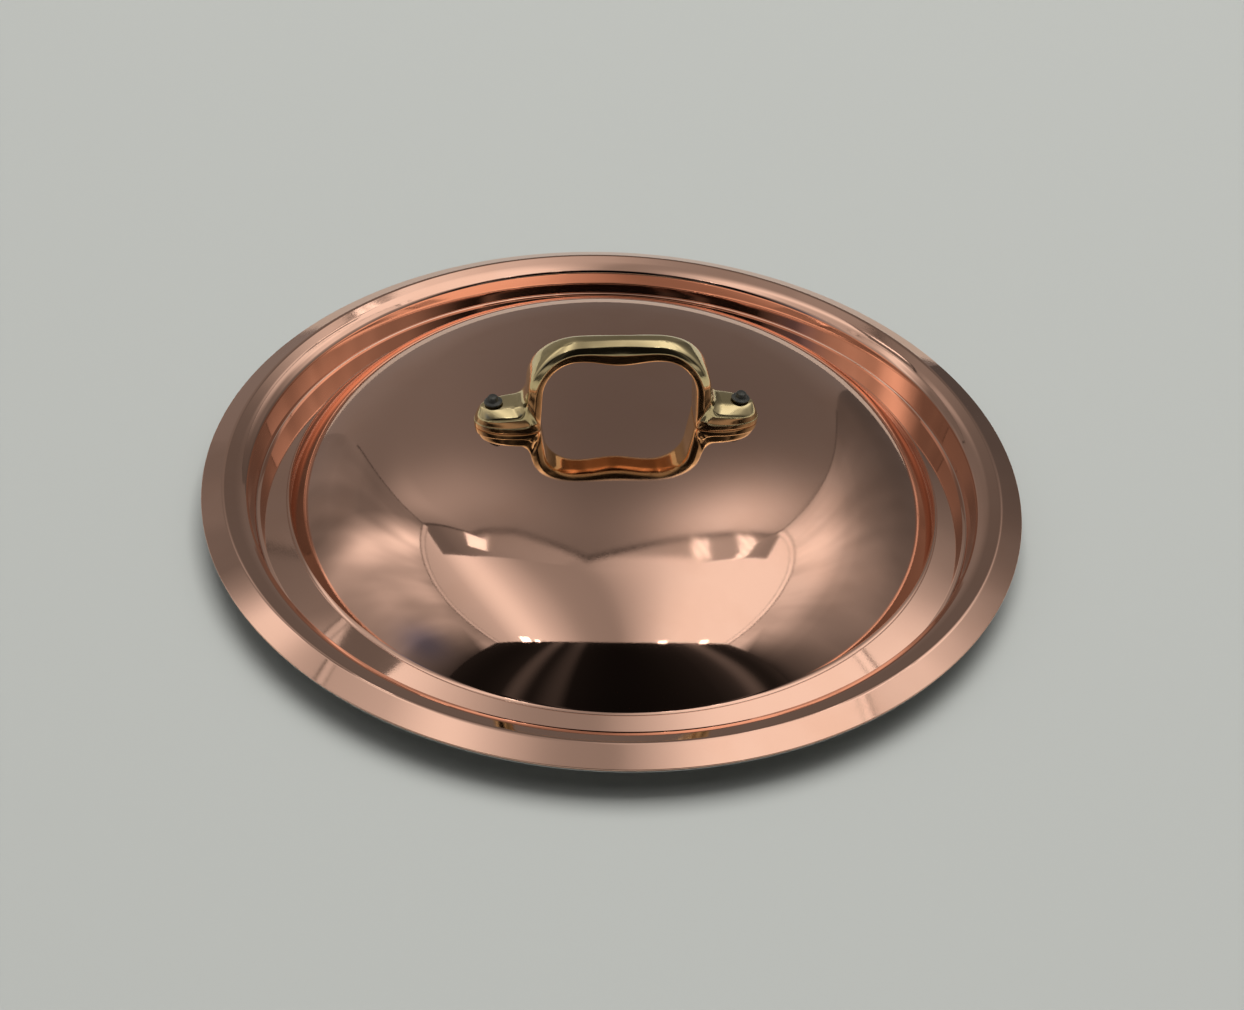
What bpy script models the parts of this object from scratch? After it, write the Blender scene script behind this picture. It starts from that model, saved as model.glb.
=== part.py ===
"""A domed lid with a riveted loop handle, for a round stovetop pan.

The lid is turned from bonded sheet, copper above and steel below. It stands on the flat foot
of its lining, and its brim floats clear of the table. Lengths are metres and angles are
degrees. +Z is up, and the origin is at the middle of the foot, on the surface it stands on.
"""

import math

import bmesh
import bpy
from mathutils import Matrix, Vector

# Sheet, from its upper face down
COPPER_THICKNESS = 0.0009
BOND_GAP = 0.0003
LINING_THICKNESS = 0.0004

# Dome, on the sheet's upper face
CROWN_RADIUS = 0.500
DOME_RISE = 0.0256
FOOT_RADIUS = 0.1064
FOOT_SLOPE = 50.0

# Steps outside the dome, from its foot to the edge of the brim
RING_WIDTH = 0.0095
RING_DROP = 0.0022
REST_WIDTH = 0.0014
WALL_LEAN = 0.0017
WALL_RISE = 0.0085
ROLL_WIDTH = 0.0026
ROLL_RISE = 0.0019
BAND_WIDTH = 0.0047
BAND_RISE = 0.0014
BRIM_WIDTH = 0.0072
BRIM_DROP = 0.0029

# Radii on the inside of the bends
FOOT_BEND = 0.0022
RING_BEND = 0.0010
REST_BEND = 0.0006
WALL_BEND = 0.0007
BAND_BEND = 0.0064
CREST_BEND = 0.0005

# Loop handle, its heights taken from the top of the dome
OPENING_WIDTH = 0.0496
STEM_THICKNESS = 0.0049
STEM_LEAN = 0.0010
HANDLE_HEIGHT = 0.0301
BAR_THICKNESS = 0.0067
BAR_DEPTH = 0.0098
STEM_DEPTH = 0.0132
BAR_CROWN = 0.0011
SCALLOP_DEPTH = 0.0018
OUTER_CORNER = 0.0180
INNER_CORNER = 0.0110
PAD_LENGTH = 0.0213
PAD_DEPTH = 0.0162
PAD_THICKNESS = 0.0074
PAD_WAIST = 0.0020
PAD_FILLET = 0.0055
PAD_HEEL = 0.0010

# Rivets through the pads, set in from the pads' tips
RIVET_INSET = 0.0069
SHANK_DIAMETER = 0.0044
HOLE_CLEARANCE = 0.0003
DRILL_OVERRUN = 0.0030
PEEN_DIAMETER = 0.0058
PEEN_HEIGHT = 0.0014
PEEN_CHAMFER = 0.0004
NIPPLE_DIAMETER = 0.0036
NIPPLE_HEIGHT = 0.0008
HEAD_DIAMETER = 0.0102
HEAD_HEIGHT = 0.0019
HEAD_EDGE = 0.0008

# Gap between pieces that lie on each other
SEAT_GAP = 0.0003

# Roundness of the handle: 2 is an ellipse, and more is squarer
PAD_PLAN_POWER = 2.3
PAD_END_POWER = 5.0
PAD_POWER = 2.6
BAR_POWER = 3.2

# Fineness of the model
TURN_STEPS = 56
CROWN_STEPS = 4
SHOULDER_STEPS = 5
BEND_STEPS = 2
BAND_STEPS = 2
SECTION_STEPS = 20
PAD_STEPS = 6
PAD_FIRST_STEP = 0.35
HEEL_STEPS = 3
STEM_STEPS = 3
CORNER_STEPS = 4
BAR_STEPS = 7
RIVET_TURN_STEPS = 20
RIVET_DOME_STEPS = 3
SHARP_ANGLE = 35.0
MERGE_DISTANCE = 0.000001

SHEET_THICKNESS = COPPER_THICKNESS + BOND_GAP + LINING_THICKNESS
CROWN_TOP = SHEET_THICKNESS + RING_DROP + DOME_RISE
RIVET_PITCH = OPENING_WIDTH + 2 * (PAD_LENGTH - RIVET_INSET)


def metal(name, color, roughness):
    """Make a plain metal."""
    material = bpy.data.materials.new(name)
    material.use_nodes = True
    shader = material.node_tree.nodes["Principled BSDF"]
    shader.inputs["Base Color"].default_value = (*color, 1.0)
    shader.inputs["Metallic"].default_value = 1.0
    shader.inputs["Roughness"].default_value = roughness
    material.diffuse_color = (*color, 1.0)
    return material


def add_object(name, bm, material=None):
    """Turn a bmesh into a named object with its faces pointing out."""
    bmesh.ops.recalc_face_normals(bm, faces=bm.faces)
    mesh = bpy.data.meshes.new(name)
    bm.to_mesh(mesh)
    bm.free()
    mesh.shade_smooth()
    mesh.set_sharp_from_angle(angle=math.radians(SHARP_ANGLE))
    if material:
        mesh.materials.append(material)
    piece = bpy.data.objects.new(name, mesh)
    bpy.context.scene.collection.objects.link(piece)
    return piece


def cut(piece, cutter):
    """Cut one object out of another, and keep the cutter as a hidden guide."""
    cutter.hide_render = True
    cutter.display_type = "WIRE"
    boolean = piece.modifiers.new(cutter.name, "BOOLEAN")
    boolean.operation = "DIFFERENCE"
    boolean.solver = "EXACT"
    boolean.object = cutter


def heading(angle):
    """Unit vector along a slope, and the one square to it on the upper side."""
    return Vector((math.cos(angle), math.sin(angle))), Vector((-math.sin(angle), math.cos(angle)))


def bend(before, corner, after, inside_radius, steps, thickness=0.0):
    """Round a corner of an outline. Gives a list of point and slope.

    A corner that turns down has the thickness below it added, so that its underside keeps the
    inside radius.
    """
    start_slope = math.atan2(corner.y - before.y, corner.x - before.x)
    turn = math.atan2(after.y - corner.y, after.x - corner.x) - start_slope
    turn = (turn + math.pi) % math.tau - math.pi
    side = math.copysign(1.0, turn)
    radius = inside_radius if turn > 0 else inside_radius + thickness
    along, square = heading(start_slope)
    centre = corner - along * radius * math.tan(abs(turn) / 2) + square * radius * side
    marks = []
    for step in range(steps + 1):
        slope = start_slope + turn * step / steps
        marks.append((centre - heading(slope)[1] * radius * side, slope))
    return marks


def dome_outline(end, end_slope):
    """Run from the top of the dome to its foot: a flat crown, then a rounder shoulder."""
    crown = Vector((0.0, CROWN_TOP - CROWN_RADIUS))
    reach = end - crown
    square = heading(end_slope)[1]
    shoulder = (reach.length_squared - CROWN_RADIUS ** 2) / (2 * (reach.dot(square) - CROWN_RADIUS))
    centre = end - square * shoulder
    join = -math.asin((centre.x - crown.x) / (CROWN_RADIUS - shoulder))
    marks = []
    for step in range(CROWN_STEPS):
        slope = join * step / CROWN_STEPS
        marks.append((crown + heading(slope)[1] * CROWN_RADIUS, slope))
    for step in range(SHOULDER_STEPS):
        slope = join + (end_slope - join) * step / SHOULDER_STEPS
        marks.append((centre + heading(slope)[1] * shoulder, slope))
    return marks


def sheet_outline():
    """Upper face of the sheet from its middle to its edge, as points with their slopes."""
    foot = Vector((FOOT_RADIUS, SHEET_THICKNESS + RING_DROP))
    rest_inner = foot + Vector((RING_WIDTH, -RING_DROP))
    rest_outer = rest_inner + Vector((REST_WIDTH, 0.0))
    roll = rest_outer + Vector((WALL_LEAN, WALL_RISE))
    band = roll + Vector((ROLL_WIDTH, ROLL_RISE))
    crest = band + Vector((BAND_WIDTH, BAND_RISE))
    edge = crest + Vector((BRIM_WIDTH, -BRIM_DROP))
    foot_slope = -math.radians(FOOT_SLOPE)
    corners = [foot - heading(foot_slope)[0], foot, rest_inner, rest_outer, roll, band, crest, edge]
    radii = [FOOT_BEND, RING_BEND, REST_BEND, WALL_BEND, BAND_BEND, CREST_BEND]
    steps = [BEND_STEPS, 1, BEND_STEPS, BEND_STEPS, BAND_STEPS, BEND_STEPS]
    bends = [bend(corners[i], corners[i + 1], corners[i + 2], radii[i], steps[i], SHEET_THICKNESS)
             for i in range(len(radii))]
    marks = dome_outline(bends[0][0][0], foot_slope)
    for marked in bends:
        marks += marked
    marks.append((edge, math.atan2(-BRIM_DROP, BRIM_WIDTH)))
    return marks


def offset_outline(depth):
    """Outline of the sheet at a depth below its upper face."""
    return [point - heading(slope)[1] * depth for point, slope in sheet_outline()]


def turned(name, outline, steps, material=None):
    """Turn a closed outline of radius and height about the Z axis."""
    bm = bmesh.new()
    ring = [bm.verts.new((point.x, 0.0, point.y)) for point in outline]
    edges = [bm.edges.new((ring[i - 1], ring[i])) for i in range(1, len(ring))]
    bmesh.ops.spin(bm, geom=ring + edges, axis=(0, 0, 1), cent=(0, 0, 0), angle=math.tau,
                   steps=steps, use_merge=True)
    bmesh.ops.remove_doubles(bm, verts=bm.verts, dist=MERGE_DISTANCE)
    return add_object(name, bm, material)


def turned_layer(name, depth, thickness, material):
    """One layer of the sheet."""
    upper = offset_outline(depth)
    lower = offset_outline(depth + thickness)
    return turned(name, upper + lower[::-1], TURN_STEPS, material)


def dome_cutter():
    """Room that the handle leaves for the dome under it."""
    upper = offset_outline(-SEAT_GAP)
    return turned("dome_cutter", upper + [Vector((upper[-1].x, 0.0)), Vector((0.0, 0.0))], TURN_STEPS)


def run(start, end, steps):
    """Points between two marks of a rail, without the marks themselves."""
    return [start.lerp(end, step / (steps + 1)) for step in range(1, steps + 1)]


def handle_rails():
    """Outer and inner outline of half the loop, from the tip of a pad to the middle of the bar."""
    crown = Vector((0.0, CROWN_TOP))
    inner_x = OPENING_WIDTH / 2
    outer_x = inner_x + STEM_THICKNESS
    tip_x = inner_x + PAD_LENGTH
    lean = -RIVET_PITCH / 2 / CROWN_RADIUS
    seat = crown.y - CROWN_RADIUS + math.sqrt(CROWN_RADIUS ** 2 - (RIVET_PITCH / 2) ** 2)
    pad_top = seat + PAD_THICKNESS
    rivet_x = RIVET_PITCH / 2

    outer_tip = Vector((tip_x, pad_top + (tip_x - rivet_x) * lean))
    outer_heel = Vector((outer_x, pad_top + (outer_x - rivet_x) * lean))
    outer_top = Vector((outer_x - STEM_LEAN, crown.y + HANDLE_HEIGHT - BAR_CROWN))
    outer_middle = crown + Vector((0.0, HANDLE_HEIGHT))
    inner_tip = outer_tip - Vector((0.0, 2 * (PAD_THICKNESS - PAD_WAIST)))
    inner_heel = Vector((inner_x, crown.y - PAD_THICKNESS))
    inner_top = Vector((inner_x - STEM_LEAN, outer_top.y - BAR_THICKNESS))
    inner_middle = outer_middle - Vector((0.0, BAR_THICKNESS))

    outer = rail(outer_tip, outer_heel, outer_top, outer_middle, PAD_FILLET, OUTER_CORNER)
    inner = rail(inner_tip, inner_heel, inner_top, inner_middle, PAD_HEEL, INNER_CORNER)
    return outer, inner


def pad_angle(index):
    """Angle of a station on the rounded end of a pad, from its tip."""
    return math.pi / 2 * min(1.0, (index + PAD_FIRST_STEP) / PAD_STEPS)


def pad_swell(index, power):
    """Share of its full size that a pad has at a station of its rounded end."""
    return math.sin(pad_angle(index)) ** (2 / power)


def bend_reach(before, corner, after, radius):
    """How far from a corner its bend starts."""
    return radius * math.tan((math.pi - (before - corner).angle(after - corner)) / 2)


def rail(tip, heel, top, middle, heel_radius, top_radius):
    """One outline of half the loop. Both rails have the same number of points."""
    reach = bend_reach(tip, heel, top, heel_radius) + bend_reach(heel, top, middle, top_radius)
    limit = min(1.0, (top - heel).length / reach)
    heel_bend = bend(tip, heel, top, heel_radius * limit, HEEL_STEPS)
    top_bend = bend(heel, top, middle, top_radius * limit, CORNER_STEPS)
    heel_marks = [point for point, slope in heel_bend]
    top_marks = [point for point, slope in top_bend]
    points = []
    for step in range(PAD_STEPS):
        share = 1 - math.cos(pad_angle(step)) ** (2 / PAD_PLAN_POWER)
        points.append(tip.lerp(heel_marks[0], share))
    points += heel_marks
    points += run(heel_marks[-1], top_marks[0], STEM_STEPS)
    points += top_marks
    points += run(top_marks[-1], middle, BAR_STEPS)
    points.append(middle)
    return points


def section_depth(index):
    """Half the depth of the loop in Y at a station."""
    heel = PAD_STEPS + 1
    neck = PAD_STEPS + HEEL_STEPS + STEM_STEPS
    middle = neck + CORNER_STEPS + BAR_STEPS + 2
    if index < heel:
        return PAD_DEPTH / 2 * pad_swell(index, PAD_PLAN_POWER)
    if index < neck:
        share = (index - heel) / (neck - heel)
        ease = 1 - (1 - share) ** 2
        return (PAD_DEPTH + (STEM_DEPTH - PAD_DEPTH) * ease) / 2
    share = (index - neck) / (middle - neck)
    return (STEM_DEPTH + (BAR_DEPTH - STEM_DEPTH) * share) / 2


def section_power(index):
    """How square the section is: a pad has sloping shoulders, and the bar is squarer."""
    share = min(1.0, index / (PAD_STEPS + HEEL_STEPS + STEM_STEPS))
    return PAD_POWER + (BAR_POWER - PAD_POWER) * share


def section(outer, inner, depth, swell, power):
    """Points round the loop at one station, between its outer and inner outline."""
    middle = (outer + inner) / 2
    half = (outer - inner) / 2 * swell
    points = []
    for step in range(SECTION_STEPS):
        angle = math.tau * step / SECTION_STEPS
        rise = math.copysign(abs(math.sin(angle)) ** (2 / power), math.sin(angle))
        side = math.copysign(abs(math.cos(angle)) ** (2 / power), math.cos(angle))
        points.append((middle.x + half.x * rise, depth * side, middle.y + half.y * rise))
    return points


def handle_stations():
    """Sections of the whole loop, from one pad's tip to the other's."""
    outer, inner = handle_rails()
    half_flat = OPENING_WIDTH / 2 - STEM_LEAN - INNER_CORNER
    stations = []
    for index, (above, below) in enumerate(zip(outer, inner)):
        if below.y > CROWN_TOP + PAD_THICKNESS and below.x < half_flat:
            scallop = SCALLOP_DEPTH * math.cos(math.pi / 2 * below.x / half_flat) ** 2
            below = below - Vector((0.0, scallop))
        swell = pad_swell(index, PAD_END_POWER)
        stations.append(section(above, below, section_depth(index), swell, section_power(index)))
    mirrored = [[(-x, y, z) for x, y, z in station] for station in stations[-2::-1]]
    return stations + mirrored


def make_handle(material):
    """Cast loop with a pad at each end."""
    bm = bmesh.new()
    rings = [[bm.verts.new(point) for point in station] for station in handle_stations()]
    for ring, following in zip(rings, rings[1:]):
        for i in range(SECTION_STEPS):
            bm.faces.new((ring[i - 1], ring[i], following[i], following[i - 1]))
    bm.faces.new(rings[0])
    bm.faces.new(rings[-1][::-1])
    return add_object("handle", bm, material)


def rivet_frame(side):
    """Place of a rivet: on the dome's upper face, square to it."""
    slope = math.asin(RIVET_PITCH / 2 / CROWN_RADIUS)
    height = CROWN_TOP - CROWN_RADIUS + CROWN_RADIUS * math.cos(slope)
    place = Matrix.Translation((side * RIVET_PITCH / 2, 0.0, height))
    return place @ Matrix.Rotation(side * slope, 4, "Y")


def low_dome(radius, base, rise):
    """Quarter of an ellipse, from its middle out to its base."""
    angles = [math.pi / 2 * step / RIVET_DOME_STEPS for step in range(RIVET_DOME_STEPS + 1)]
    return [Vector((radius * math.sin(angle), base + rise * math.cos(angle))) for angle in angles]


def rivet_outline():
    """Half outline of a rivet, from the top of its peened end to the middle of its head."""
    shank = SHANK_DIAMETER / 2
    peen = PEEN_DIAMETER / 2
    head = HEAD_DIAMETER / 2
    peen_low = PAD_THICKNESS + SEAT_GAP
    peen_high = peen_low + PEEN_HEIGHT
    head_high = -SHEET_THICKNESS - SEAT_GAP
    middle = [
        Vector((peen, peen_high - PEEN_CHAMFER)),
        Vector((peen, peen_low)),
        Vector((shank, peen_low)),
        Vector((shank, head_high)),
        Vector((head, head_high)),
    ]
    nipple = low_dome(NIPPLE_DIAMETER / 2, peen_high, NIPPLE_HEIGHT)
    button = low_dome(head, head_high - HEAD_EDGE, HEAD_EDGE - HEAD_HEIGHT)
    return nipple + middle + button[::-1]


def make_rivet(name, side, material):
    """One rivet, with its head under the lining and its peened end on the pad."""
    rivet = turned(name, rivet_outline(), RIVET_TURN_STEPS, material)
    rivet.matrix_world = rivet_frame(side)
    return rivet


def hole_cutter(name, side):
    """Drill for a rivet's hole through pad and sheet, past both of their faces."""
    bm = bmesh.new()
    radius = SHANK_DIAMETER / 2 + HOLE_CLEARANCE
    reach = PAD_THICKNESS + SHEET_THICKNESS + DRILL_OVERRUN
    bmesh.ops.create_cone(bm, cap_ends=True, segments=RIVET_TURN_STEPS, radius1=radius,
                          radius2=radius, depth=2 * reach)
    drill = add_object(name, bm)
    drill.matrix_world = rivet_frame(side)
    return drill


def clear_scene():
    """Remove what a new file holds."""
    for item in list(bpy.data.objects):
        bpy.data.objects.remove(item, do_unlink=True)


def main():
    """Build the lid."""
    clear_scene()
    copper = metal("polished_copper", (0.90, 0.52, 0.37), 0.08)
    steel = metal("brushed_steel", (0.62, 0.62, 0.61), 0.28)
    brass = metal("cast_brass", (0.80, 0.66, 0.36), 0.14)
    iron = metal("dark_iron", (0.10, 0.10, 0.10), 0.45)

    shell = turned_layer("copper_shell", 0.0, COPPER_THICKNESS, copper)
    lining = turned_layer("steel_lining", COPPER_THICKNESS + BOND_GAP, LINING_THICKNESS, steel)
    handle = make_handle(brass)
    cut(handle, dome_cutter())
    for name, side in (("left", -1), ("right", 1)):
        drill = hole_cutter("drill_" + name, side)
        for piece in (shell, lining, handle):
            cut(piece, drill)
        make_rivet("rivet_" + name, side, iron)


main()
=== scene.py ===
"""Looks of a domed pan lid: polished copper over steel, with a riveted brass loop handle.

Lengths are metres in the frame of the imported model. +Z is up, the handle's bar runs along X,
and the lid stands on the floor at Z = 0. Angles are radians unless a name says degrees.
"""

import math

import bmesh
import bpy
from bpy.props import FloatProperty, FloatVectorProperty, IntProperty, PointerProperty
from mathutils import Matrix, Vector, noise


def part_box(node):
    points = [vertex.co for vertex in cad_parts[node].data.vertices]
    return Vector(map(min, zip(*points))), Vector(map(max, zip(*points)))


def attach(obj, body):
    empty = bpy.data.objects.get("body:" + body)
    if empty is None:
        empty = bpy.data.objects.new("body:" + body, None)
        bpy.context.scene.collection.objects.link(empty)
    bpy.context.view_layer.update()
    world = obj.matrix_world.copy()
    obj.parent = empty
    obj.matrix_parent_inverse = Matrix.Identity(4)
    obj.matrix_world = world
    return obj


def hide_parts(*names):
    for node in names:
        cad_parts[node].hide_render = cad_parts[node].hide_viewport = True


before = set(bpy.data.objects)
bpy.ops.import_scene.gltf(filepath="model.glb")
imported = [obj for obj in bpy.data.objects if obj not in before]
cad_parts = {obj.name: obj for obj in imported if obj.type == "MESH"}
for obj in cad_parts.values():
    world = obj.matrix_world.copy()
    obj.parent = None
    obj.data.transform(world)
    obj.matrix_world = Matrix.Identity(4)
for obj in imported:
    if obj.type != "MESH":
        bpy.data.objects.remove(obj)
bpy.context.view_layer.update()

bl_info = {
    "name": "Domed Pan Lid",
    "version": (1, 0, 0),
    "blender": (4, 5, 0),
    "location": "3D View > Sidebar > Lid",
    "description": "Builds a domed copper lid with a riveted brass loop handle, and its studio",
    "category": "Add Mesh",
}

SHELL_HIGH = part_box("copper_shell")[1]
HANDLE_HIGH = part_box("handle")[1]
BODY = "root"
MERGE_DISTANCE = 0.000001


def length(name, description, default):
    """A length that a user can change."""
    return FloatProperty(name=name, description=description, default=default, precision=5,
                         unit="LENGTH")


def angle(name, description, degrees):
    """An angle that a user can change."""
    return FloatProperty(name=name, description=description, default=math.radians(degrees),
                         subtype="ANGLE")


def share(name, description, default):
    """A plain number that a user can change."""
    return FloatProperty(name=name, description=description, default=default, precision=3)


def count(name, description, default):
    """A whole number that a user can change."""
    return IntProperty(name=name, description=description, default=default, min=1)


def colour(name, description, default):
    """A linear colour that a user can change."""
    return FloatVectorProperty(name=name, description=description, default=default, size=3,
                               subtype="COLOR", min=0.0, max=1.0)


class SheetSizes(bpy.types.PropertyGroup):
    """Sizes of the turned sheet, on its upper face, from the middle to the edge"""

    brim_radius: length("Brim radius", "Radius of the edge of the brim", SHELL_HIGH[0])
    crown_top: length("Crown top", "Height of the top of the dome", SHELL_HIGH[2])
    thickness: length("Thickness", "Copper and lining together", 0.0016)
    copper_thickness: length("Copper", "Thickness of the copper", 0.00115)
    joint: length("Joint", "Hairline between copper and lining", 0.00002)
    crown_radius: length("Crown radius", "Radius of the flat crown", 0.500)
    foot_radius: length("Foot radius", "Radius where the dome meets the ring", 0.1064)
    foot_slope: angle("Foot slope", "Slope of the dome at its foot", 50.0)
    ring_width: length("Ring width", "Sloping ring outside the dome", 0.0095)
    ring_drop: length("Ring drop", "Fall of the ring", 0.0022)
    rest_width: length("Rest width", "Flat that the lid stands on", 0.0014)
    wall_lean: length("Wall lean", "Lean of the plug wall", 0.0017)
    wall_rise: length("Wall rise", "Height of the plug wall", 0.0085)
    roll_width: length("Roll width", "Width of the turn from wall to band", 0.0026)
    roll_rise: length("Roll rise", "Rise of the turn from wall to band", 0.0019)
    band_width: length("Band width", "Shallow band inside the crest", 0.0047)
    band_rise: length("Band rise", "Rise of the band", 0.0014)
    brim_drop: length("Brim drop", "Fall of the brim to its edge", 0.0029)
    foot_bend: length("Foot bend", "Inside radius at the foot of the dome", 0.0022)
    ring_bend: length("Ring bend", "Inside radius at the outside of the ring", 0.0010)
    rest_bend: length("Rest bend", "Inside radius at the foot of the wall", 0.0006)
    wall_bend: length("Wall bend", "Inside radius at the top of the wall", 0.0007)
    band_bend: length("Band bend", "Inside radius between roll and band", 0.0064)
    crest_bend: length("Crest bend", "Inside radius at the crest", 0.0005)
    groove_width: length("Groove width", "Scored line at the foot of the dome", 0.0004)
    groove_depth: length("Groove depth", "Depth of the scored line", 0.00007)
    edge_round: length("Edge round", "Radius on the corners of the cut edge", 0.0003)
    turn_steps: count("Turn steps", "Faces round the lid", 240)


class HandleSizes(bpy.types.PropertyGroup):
    """Sizes of the cast loop and its pads"""

    opening_width: length("Opening", "Clear width between the stems", 0.0496)
    stem_thickness: length("Stem thickness", "Thickness of a stem along the bar", 0.0049)
    stem_lean: length("Stem lean", "Lean of the stems over their height", 0.0010)
    bar_thickness: length("Bar thickness", "Height of the bar's section", 0.0067)
    bar_depth: length("Bar depth", "Depth of the bar's section", 0.0098)
    stem_depth: length("Stem depth", "Depth of a stem's section", 0.0146)
    bar_crown: length("Bar crown", "Rise of the bar towards its middle", 0.0011)
    scallop_depth: length("Scallop", "Swell under the middle of the bar", 0.0018)
    outer_corner: length("Outer corner", "Radius outside the loop's corners", 0.0180)
    inner_corner: length("Inner corner", "Radius inside the loop's corners", 0.0110)
    pad_length: length("Pad length", "From the opening to a pad's tip", 0.0213)
    pad_depth: length("Pad depth", "Depth of a pad", 0.0162)
    pad_thickness: length("Pad thickness", "Height of a pad's land above the dome", 0.0074)
    pad_fillet: length("Pad fillet", "Radius between pad and stem", 0.0055)
    pad_heel: length("Pad heel", "Radius at the inner foot of a stem", 0.0008)
    heel_corner: length("Heel corner", "Radius in plan at the inner corner of a foot", 0.0030)
    plinth_height: length("Plinth height", "Height of the band round a pad's foot", 0.0020)
    seat_gap: length("Seat gap", "Gap between a pad and the dome", 0.00008)
    waviness: length("Waviness", "How far polishing has left the faces uneven", 0.00004)


class RivetSizes(bpy.types.PropertyGroup):
    """Sizes of the rivets"""

    inset: length("Inset", "From a pad's tip to the middle of its rivet", 0.0069)
    shank: length("Shank", "Diameter of the shank", 0.0044)
    peen: length("Peen", "Diameter of the hammered end", 0.0059)
    peen_height: length("Peen height", "Height of the hammered end", 0.0009)
    nipple: length("Nipple", "Diameter of the stub on the hammered end", 0.0034)
    nipple_height: length("Nipple height", "Height of the stub", 0.0016)
    head: length("Head", "Diameter of the head under the lining", 0.0102)
    head_height: length("Head height", "Height of the head", 0.0018)
    slant: share("Slant", "How far the hammered end leans out, for each unit up", 0.05)


class Finishes(bpy.types.PropertyGroup):
    """Colours of the metals and the floor"""

    copper: colour("Copper", "Polished copper", (0.93, 0.56, 0.41))
    tarnish: colour("Tarnish", "Copper where it has begun to dull", (0.80, 0.42, 0.27))
    steel: colour("Steel", "Lining", (0.62, 0.61, 0.59))
    brass: colour("Brass", "Polished brass", (0.90, 0.71, 0.38))
    # Dull brass is blended in over random noise patches, not placed by the hollows
    brass_dull: colour("Dull brass", "Brass in its hollows", (0.64, 0.47, 0.21))
    iron: colour("Iron", "Rivets", (0.075, 0.073, 0.064))
    floor: colour("Floor", "Pale floor", (0.49, 0.50, 0.47))


class StageSizes(bpy.types.PropertyGroup):
    """Camera, light tent and lamp"""

    camera_turn: angle("Camera turn", "Turn of the camera about the lid", -6.9)
    camera_rise: angle("Camera rise", "Angle that the camera looks down", 39.69)
    camera_roll: angle("Camera roll", "Roll of the camera", 3.18)
    camera_distance: length("Camera distance", "From the camera to its aim", 0.5155)
    aim_side: length("Aim side", "Aim to the right of the origin", 0.00324)
    aim_front: length("Aim front", "Aim in front of the origin", 0.0224)
    aim_height: length("Aim height", "Height of the aim", 0.01053)
    image_width: share("Image width", "Width of the photograph in pixels", 1244.0)
    focal_pixels: share("Focal pixels", "Focal length in the same pixels", 1610.0)
    tent_height: length("Tent height", "Height of the light tent", 4.1)
    fill_power: share("Fill power", "Power of the soft lamp over the lid, in watts", 138.0)
    fill_size: length("Fill size", "Side of the soft lamp", 3.0)
    fill_side: length("Fill side", "How far right of the lid the soft lamp hangs", 0.4)
    fill_back: length("Fill back", "How far behind the lid the soft lamp hangs", 1.4)


class LidSettings(bpy.types.PropertyGroup):
    """Everything about the lid that a user can change"""

    sheet: PointerProperty(type=SheetSizes)
    handle: PointerProperty(type=HandleSizes)
    rivet: PointerProperty(type=RivetSizes)
    finish: PointerProperty(type=Finishes)
    stage: PointerProperty(type=StageSizes)


# Turned outlines


# Steps over the dome and in each bend, on a face that shows and on one that is hidden, and in each
# corner of the cut edge
SHOWN_STEPS = (44, 8)
HIDDEN_STEPS = (16, 3)
RIM_STEPS = 4


def heading(slope):
    """Unit vector along a slope, and the one square to it on the upper side."""
    return Vector((math.cos(slope), math.sin(slope))), Vector((-math.sin(slope), math.cos(slope)))


def bend(before, corner, after, inside_radius, steps, thickness=0.0):
    """Round a corner of an outline. Gives a list of point and slope.

    A corner that turns down has the thickness below it added, so that its underside keeps the
    inside radius.
    """
    start_slope = math.atan2(corner.y - before.y, corner.x - before.x)
    turn = math.atan2(after.y - corner.y, after.x - corner.x) - start_slope
    turn = (turn + math.pi) % math.tau - math.pi
    side = math.copysign(1.0, turn)
    radius = inside_radius if turn > 0 else inside_radius + thickness
    along, square = heading(start_slope)
    centre = corner - along * radius * math.tan(abs(turn) / 2) + square * radius * side
    marks = []
    for step in range(steps + 1):
        slope = start_slope + turn * step / steps
        marks.append((centre - heading(slope)[1] * radius * side, slope))
    return marks


def dome_marks(sizes, end, end_slope, steps):
    """Run from the top of the dome to its foot: a flat crown, then a rounder shoulder."""
    crown = Vector((0.0, sizes.crown_top - sizes.crown_radius))
    reach = end - crown
    square = heading(end_slope)[1]
    bulge = reach.length_squared - sizes.crown_radius ** 2
    shoulder = bulge / (2 * (reach.dot(square) - sizes.crown_radius))
    centre = end - square * shoulder
    join = -math.asin((centre.x - crown.x) / (sizes.crown_radius - shoulder))
    marks = []
    for step in range(steps):
        slope = join * step / steps
        marks.append((crown + heading(slope)[1] * sizes.crown_radius, slope))
    for step in range(steps):
        slope = join + (end_slope - join) * step / steps
        marks.append((centre + heading(slope)[1] * shoulder, slope))
    return marks


def groove_marks(sizes, start, slope, steps):
    """Scored line that starts just outside the foot of the dome."""
    along, square = heading(slope)
    marks = []
    for step in range(1, steps + 1):
        turn = math.tau * step / steps
        depth = sizes.groove_depth * (1 - math.cos(turn)) / 2
        steepness = math.pi * sizes.groove_depth / sizes.groove_width * math.sin(turn)
        place = start + along * sizes.groove_width * step / steps - square * depth
        marks.append((place, slope - math.atan(steepness)))
    return marks


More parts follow.
